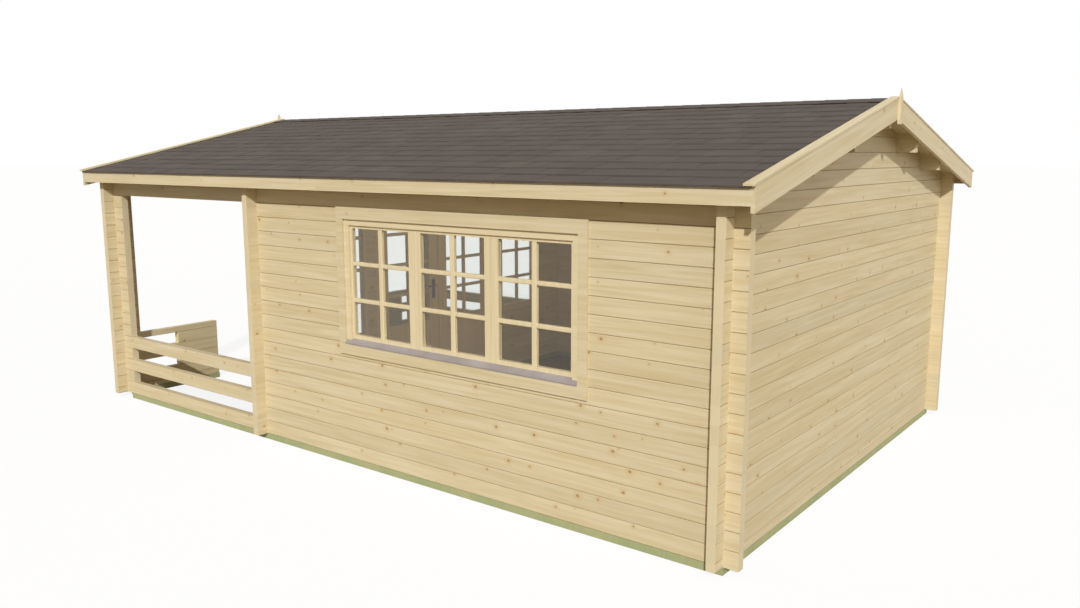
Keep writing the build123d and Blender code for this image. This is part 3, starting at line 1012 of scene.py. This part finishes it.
class CABIN_OT_porch_bars(Operator):
    """Adds the bars of the doors and of the windows beside them"""

    bl_idname = "cabin.porch_bars"
    bl_label = "Door and porch window bars"

    def execute(self, context):
        windows = context.scene.cabin_windows
        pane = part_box("door_glass_right")
        rows = [pane[0].z + (pane[1].z - pane[0].z) * (number + 1) / windows.door_rows
                for number in range(windows.door_rows - 1)]
        low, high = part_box("porch_window_glass")
        width = self.window_width(high)
        pieces = []
        for x in (low.x, high.x - width):
            corner = Vector((x, low.y, low.z))
            opposite = Vector((x + width, high.y, high.z))
            pieces += bars_in(corner, opposite, 1, rows, windows, windows.crossbar)
        settle_bars(pieces, "porch_window_bars", "cabin")
        for side in ("left", "right"):
            low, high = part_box("door_glass_" + side)
            pieces = bars_in(low, high, 1, rows, windows, windows.crossbar)
            settle_bars(pieces, "door_bars_" + side, side + "_door")
        return {"FINISHED"}

    def window_width(self, high):
        """Width of one porch window's pane, from the points of both."""
        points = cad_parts["porch_window_glass"].data.vertices
        return high.x - min(vertex.co.x for vertex in points if vertex.co.x > 0)


class CABIN_OT_stage(Operator):
    """Sets up the floor, background, lamps and camera"""

    bl_idname = "cabin.stage"
    bl_label = "Stage"

    def execute(self, context):
        stage = context.scene.cabin_stage
        clear_selection()
        self.add_floor(stage)
        self.set_background(context.scene, stage)
        self.add_sun("sun", stage.sun_from, stage.sun_strength, stage.sun_spread)
        self.add_sun("rear_fill", stage.rear_fill_from, stage.rear_fill, stage.rear_fill_spread)
        self.add_room_fill(stage)
        self.add_camera(context.scene, stage)
        context.scene.view_settings.view_transform = "Standard"
        return {"FINISHED"}

    def add_sun(self, name, direction, strength, spread):
        """A lamp that shines evenly from one direction, its shadows softer as it spreads."""
        towards = Vector(direction).normalized()
        turn = towards.to_track_quat("Z", "Y").to_euler()
        bpy.ops.object.light_add(type="SUN", location=towards * LAMP_AWAY, rotation=turn)
        lamp = bpy.context.object
        lamp.name = name
        lamp.data.energy = strength
        lamp.data.angle = spread

    def add_room_fill(self, stage):
        """A soft lamp in the room, which nothing shows or mirrors."""
        bpy.ops.object.light_add(type="POINT", location=stage.fill_place)
        lamp = bpy.context.object
        lamp.name = "room_fill"
        lamp.data.energy = stage.fill
        lamp.data.color = stage.fill_tone
        lamp.data.shadow_soft_size = stage.fill_size
        lamp.visible_camera = False
        lamp.visible_glossy = False
        lamp.visible_transmission = False

    def add_camera(self, scene, stage):
        """The camera at the photograph's place and angle."""
        tilt = (math.pi / 2 - stage.camera_dip, 0.0, stage.camera_heading - math.pi / 2)
        bpy.ops.object.camera_add(location=stage.camera_place, rotation=tilt)
        camera = bpy.context.object
        camera.name = "camera"
        camera.data.lens = stage.lens
        camera.data.sensor_width = SENSOR_WIDTH
        scene.camera = camera

    def add_floor(self, stage):
        """A wide floor that looks white and keeps a faint shadow, but not in the room."""
        bpy.ops.mesh.primitive_plane_add(size=FLOOR_WIDTH, location=(0.0, 0.0, -FLOOR_DROP))
        floor = bpy.context.object
        floor.name = "floor"
        finish = Finish("floor_white", 1.0)
        x, y, _ = finish.split(finish.place)
        outside = finish.any_of(
            finish.above(finish.size_of(x), ROOM_HALF),
            finish.below(y, ROOM_FRONT),
            finish.above(y, ROOM_BACK))
        path = finish.nodes.new("ShaderNodeLightPath")
        looked_at = finish.any_of(*[path.outputs[ray] for ray in LOOKING_RAYS])
        seen = finish.times(outside, looked_at)
        finish.paint(finish.blend(seen, stage.floor_bounce, stage.floor))
        glow = finish.nodes.new("ShaderNodeEmission")
        finish.feed(glow.inputs["Color"], stage.floor)
        finish.mix_in(finish.times(seen, stage.floor_glow), glow)
        dress(floor, finish.material)

    def set_background(self, scene, stage):
        """White where it is seen or mirrored, and a soft sky for light."""
        world = bpy.data.worlds.new("sky")
        world.use_nodes = True
        scene.world = world
        nodes = world.node_tree.nodes
        links = world.node_tree.links
        sky = nodes["Background"]
        sky.inputs["Color"].default_value = (*stage.sky, 1.0)
        sky.inputs["Strength"].default_value = stage.sky_strength
        white = nodes.new("ShaderNodeBackground")
        white.inputs["Color"].default_value = (1.0, 1.0, 1.0, 1.0)
        path = nodes.new("ShaderNodeLightPath")
        seen = path.outputs[LOOKING_RAYS[0]]
        for ray in LOOKING_RAYS[1:]:
            either = nodes.new("ShaderNodeMath")
            either.operation = "MAXIMUM"
            links.new(seen, either.inputs[0])
            links.new(path.outputs[ray], either.inputs[1])
            seen = either.outputs[0]
        mix = nodes.new("ShaderNodeMixShader")
        links.new(seen, mix.inputs[0])
        links.new(sky.outputs[0], mix.inputs[1])
        links.new(white.outputs[0], mix.inputs[2])
        links.new(mix.outputs[0], nodes["World Output"].inputs["Surface"])


SETTINGS = {
    "cabin_timber": TimberSettings,
    "cabin_roof": RoofSettings,
    "cabin_windows": WindowSettings,
    "cabin_stage": StageSettings,
}
OPERATORS = [
    CABIN_OT_timber, CABIN_OT_fittings, CABIN_OT_roof_boards, CABIN_OT_shingles, CABIN_OT_ridge,
    CABIN_OT_side_window_bars, CABIN_OT_porch_bars, CABIN_OT_stage,
]


class CABIN_PT_panel(Panel):
    """The cabin's steps, in the order in which they run"""

    bl_idname = "CABIN_PT_panel"
    bl_label = "Log cabin"
    bl_space_type = "VIEW_3D"
    bl_region_type = "UI"
    bl_category = "Cabin"

    def draw(self, context):
        for step in OPERATORS:
            self.layout.operator(step.bl_idname)


def register():
    for group in SETTINGS.values():
        bpy.utils.register_class(group)
    for name, group in SETTINGS.items():
        setattr(bpy.types.Scene, name, PointerProperty(type=group))
    for step in OPERATORS:
        bpy.utils.register_class(step)
    bpy.utils.register_class(CABIN_PT_panel)


def unregister():
    bpy.utils.unregister_class(CABIN_PT_panel)
    for step in reversed(OPERATORS):
        bpy.utils.unregister_class(step)
    for name in SETTINGS:
        delattr(bpy.types.Scene, name)
    for group in reversed(list(SETTINGS.values())):
        bpy.utils.unregister_class(group)


def main():
    """Run every step in order."""
    register()
    bpy.ops.cabin.timber()
    bpy.ops.cabin.fittings()
    bpy.ops.cabin.roof_boards()
    bpy.ops.cabin.shingles()
    bpy.ops.cabin.ridge()
    bpy.ops.cabin.side_window_bars()
    bpy.ops.cabin.porch_bars()
    bpy.ops.cabin.stage()


if __name__ == "__main__":
    main()
